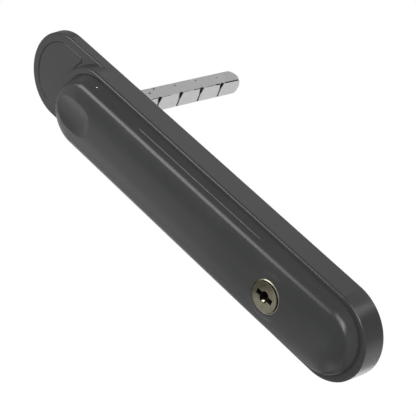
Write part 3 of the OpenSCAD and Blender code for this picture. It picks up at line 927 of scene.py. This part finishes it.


# painted shade: near black in the deep ends of the spindle's notches, and on darker stretches of one edge
SHADE_AND_EDGE_DARK = dark_metal("painted_shade_and_edge_dark", (0.006, 0.006, 0.006), (0.03, 0.03, 0.03), 0.8)
# painted shade: grey in the shallow ends of the notches and in the dents, and on darker stretches of one edge
SHADE_AND_EDGE_GREY = dark_metal("painted_shade_and_edge_grey", (0.07, 0.07, 0.07), (0.16, 0.16, 0.16), 0.6)
# painted shade: near black for the deep keyhole, the lock's wafers and the plug's side in the gap to its ring
KEYHOLE_SHADE = dark_metal("keyhole_painted_shade", (0.002, 0.002, 0.002), (0.006, 0.006, 0.005), 0.9)
MATS = {
    "powder_coat": powder_coat(),
    "zinc": plated("zinc_cast", (0.42, 0.42, 0.43), 0.48, 0.10, None, 0.30, 220),
    "zinc_steel": plated("zinc_plated_steel", (0.64, 0.64, 0.645), 0.42, 0.10, (1, 0.05, 1), 0.10, 130),
    "steel": plated("steel_bright", (0.56, 0.56, 0.57), 0.26, 0.05, None, 0.08, 240),
    "nickel": plated("nickel_silver", (0.40, 0.375, 0.29), 0.36, 0.09, None, 0.12, 420),
    "brass": plated("brass_pale", (0.90, 0.84, 0.62), 0.34, 0.06, None, 0.06, 500),
    "nylon": nylon_mat(),
    "rubber": rubber_mat(),
}
slots = {s["node"]: s["material_slot"] for s in frame["record"]["subparts"]}
for name, ob in frame["nodes"].items():
    slot = slots[name]
    if name == "lock_wafers":
        # deep in the keyhole the wafers get near-black painted shade
        for ms in ob.material_slots:
            ms.material = KEYHOLE_SHADE
        continue
    if len(ob.material_slots) == 0:
        ob.data.materials.append(MATS[slot])
    for ms in ob.material_slots:
        ms.material = MATS[slot]

# ------------------------------------------------------------------- pieces
base = finish_piece(make_base(), "base", ["base_housing"], MATS["powder_coat"])
cap = finish_piece(make_cap(), "base", ["screw_cap"], MATS["powder_coat"])
lever = finish_piece(make_lever(), "lever", ["lever"], MATS["powder_coat"])
spindle = finish_piece(make_spindle(), "rotor", ["spindle"], MATS["zinc_steel"])
plug, sleeve, ball = make_lock()
finish_piece(plug, "lock_plug", ["lock_plug"], shaded_nickel())
darken_inside(plug, KEYHOLE_SHADE)
darken_cuts(spindle, SHADE_AND_EDGE_DARK, SHADE_AND_EDGE_GREY)
finish_piece(sleeve, "lever", ["lock_sleeve"], MATS["nickel"])
finish_piece(ball, "lock_plug", ["key_guide_pin"], MATS["brass"])
finish_piece(make_hinge_pin(), "lever", ["hinge_pin"], MATS["steel"])

# ----------------------------------------------------------- floor and light
FLOOR_Z = -1.15
me = bpy.data.meshes.new("studio_floor")
n = 24
s = 4.0
vv = [(-s + 2 * s * i / n, -s + 2 * s * j / n, FLOOR_Z) for j in range(n + 1) for i in range(n + 1)]
ff = [(j * (n + 1) + i, j * (n + 1) + i + 1, (j + 1) * (n + 1) + i + 1, (j + 1) * (n + 1) + i) for j in range(n) for i in range(n)]
me.from_pydata(vv, [], ff)
floor = bpy.data.objects.new("studio_floor", me)
bpy.context.scene.collection.objects.link(floor)
fm, fnt, fp = new_mat("pale_floor")
fn = noise(fnt, 3, 2, 0.5, coords(fnt))
fr = ramp(fnt, fn.outputs["Fac"], [(0.3, (0.80, 0.80, 0.80)), (0.7, (0.83, 0.83, 0.83))])
fnt.links.new(fr.outputs["Color"], fp.inputs["Base Color"])
fp.inputs["Roughness"].default_value = 0.7
me.materials.append(fm)


def softbox(name, az, el, wide, tall, level, dist=1.2, centre=(0, 0, -0.055)):
    """a plain rectangular soft lamp: where it stands round the object, and how wide and tall it looks, in degrees"""
    a, e = math.radians(az), math.radians(el)
    d = Vector((math.cos(e) * math.cos(a), math.cos(e) * math.sin(a), math.sin(e)))
    sx = 2 * dist * math.tan(math.radians(wide / 2))
    sy = 2 * dist * math.tan(math.radians(tall / 2))
    L = bpy.data.lights.new(name, "AREA")
    L.shape = "RECTANGLE"
    L.size, L.size_y = sx, sy
    L.energy = level * math.pi * sx * sy
    ob = bpy.data.objects.new(name, L)
    ob.location = Vector(centre) + d * dist
    ob.rotation_mode = "QUATERNION"
    ob.rotation_quaternion = d.to_track_quat("Z", "Y")
    bpy.context.scene.collection.objects.link(ob)
    return ob


LAMPS = [
    ("key", 298, 36, 22, 32, 4.0), ("key_left", 284, 38, 10, 32, 3.0), ("key_right", 311, 36, 8, 32, 0.85),
    ("foot_front", 322, -9, 36, 20, 3.1), ("low_front", 322, -28, 40, 18, 5.4),
    ("back_right", 44, 32, 30, 24, 0.6), ("back_right_low", 28, -18, 20, 14, 4.3), ("back_far", 60, 2, 30, 30, 1.5),
    ("back_left", 140, -5, 36, 24, 0.45), ("foot_glow", 134, -4, 12, 26, 1.2), ("back_rim", 130, 30, 16, 16, 1.1), ("back_low", 120, -35, 40, 30, 0.8),
    ("left_high", 225, 54, 50, 30, 0.4), ("left_front", 225, 34, 36, 14, 0.55), ("left", 195, 34, 30, 20, 0.32),
    ("left_back", 165, 38, 26, 28, 1.3), ("left_side", 185, 12, 30, 16, 0.83), ("left_mid", 215, 14, 30, 16, 0.31),
    ("front_left", 240, 8, 20, 20, 0.33), ("left_low", 212, -8, 20, 14, 0.87), ("left_under", 205, -28, 50, 20, 0.4),
    ("back_top", 60, 64, 50, 30, 0.14),
]
for lamp in LAMPS:
    softbox(*lamp)

world = bpy.data.worlds.new("studio")
bpy.context.scene.world = world
world.use_nodes = True
wn = world.node_tree
bg = wn.nodes["Background"]
bg.inputs["Color"].default_value = (1, 1, 1, 1)
bg.inputs["Strength"].default_value = 0.204
lp = wn.nodes.new("ShaderNodeLightPath")
bg2 = wn.nodes.new("ShaderNodeBackground")
bg2.inputs["Color"].default_value = (1, 1, 1, 1)
bg2.inputs["Strength"].default_value = 1.0
mx = wn.nodes.new("ShaderNodeMixShader")
wn.links.new(lp.outputs["Is Camera Ray"], mx.inputs[0])
wn.links.new(bg.outputs[0], mx.inputs[1])
wn.links.new(bg2.outputs[0], mx.inputs[2])
wn.links.new(mx.outputs[0], wn.nodes["World Output"].inputs["Surface"])

sc = bpy.context.scene
sc.view_settings.view_transform = "Standard"
sc.view_settings.look = "None"

# ------------------------------------------------------------------- camera
cd = bpy.data.cameras.new("camera")
cam = bpy.data.objects.new("camera", cd)
sc.collection.objects.link(cam)
cd.sensor_width = 36.0
cd.lens = 136.65
cd.shift_x = -0.0005
cd.shift_y = 0.0005
cd.clip_start = 0.02
cd.clip_end = 50
right = Vector((0.29035461, 0.71106913, -0.6403709))
up = Vector((0.77946557, 0.21244525, 0.58932203))
back = Vector((0.55509245, -0.67025943, -0.49256945))
M = Matrix((right, up, back)).transposed().to_4x4()
M.translation = Vector((0.33106, -0.40234, -0.35939))
cam.matrix_world = M
sc.camera = cam
